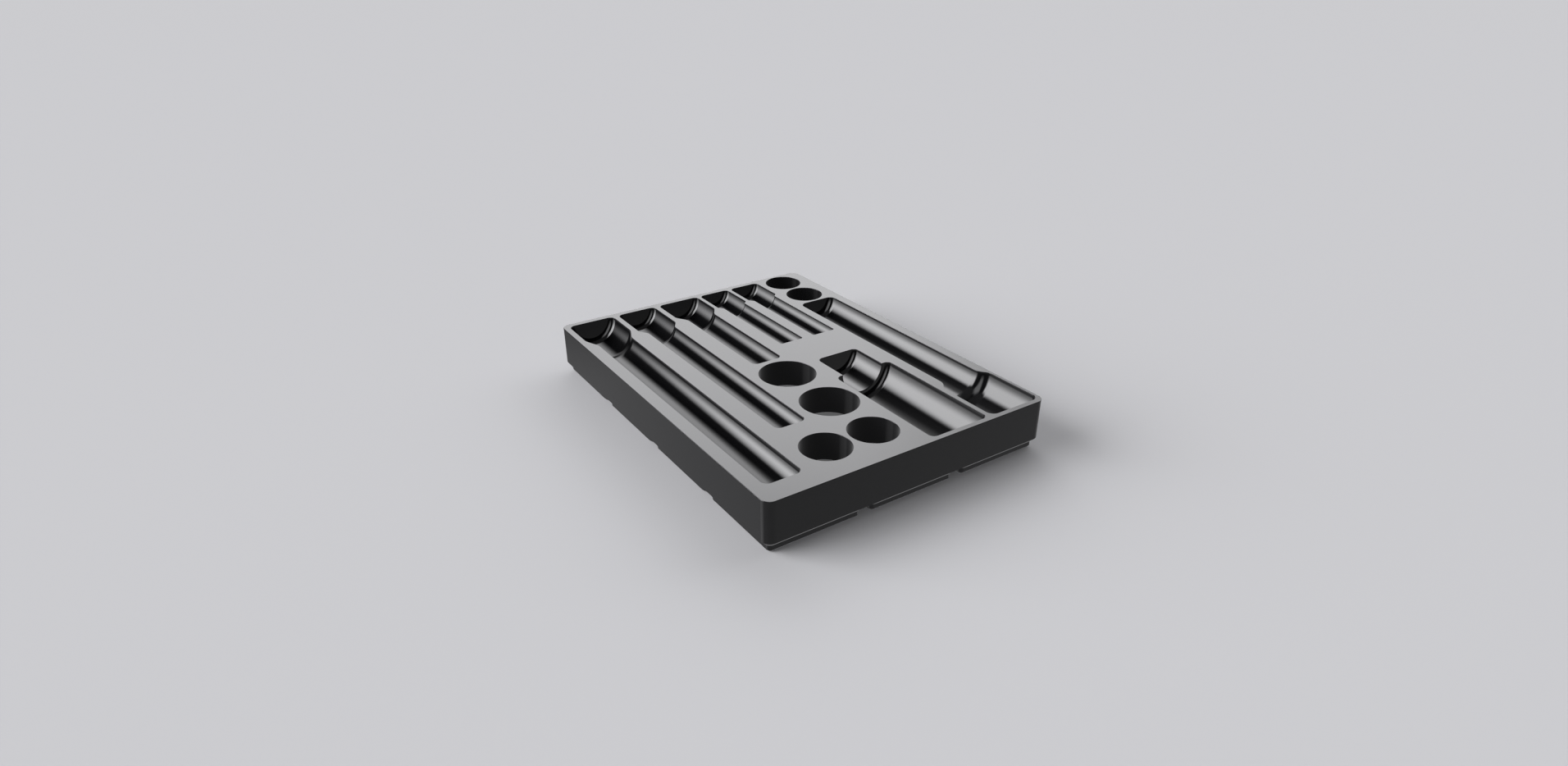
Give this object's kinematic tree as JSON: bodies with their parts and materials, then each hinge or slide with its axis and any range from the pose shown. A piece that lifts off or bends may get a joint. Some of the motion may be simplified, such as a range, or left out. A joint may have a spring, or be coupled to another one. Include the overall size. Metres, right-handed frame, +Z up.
{
  "type": "socket holder",
  "caption": "Flat drawer tray with half-round grooves for lying sockets and shafts, blind round bores for standing sockets, and feet that drop into a modular drawer grid.",
  "frame": {"origin": "centre of the tray's outline, in the plane of the feet's undersides", "axes": "+Z up out of the open grooves and bores, +Y along the long side towards the grooves' heads, +X along the short side towards the column with two bores and the deep groove"},
  "size_m": [0.1254, 0.1676, 0.021],
  "materials": {
    "body": "smooth, nearly black plastic with an even sheen"
  },
  "bodies": {
    "root": {"tray": "body"}
  },
  "joints": []
}
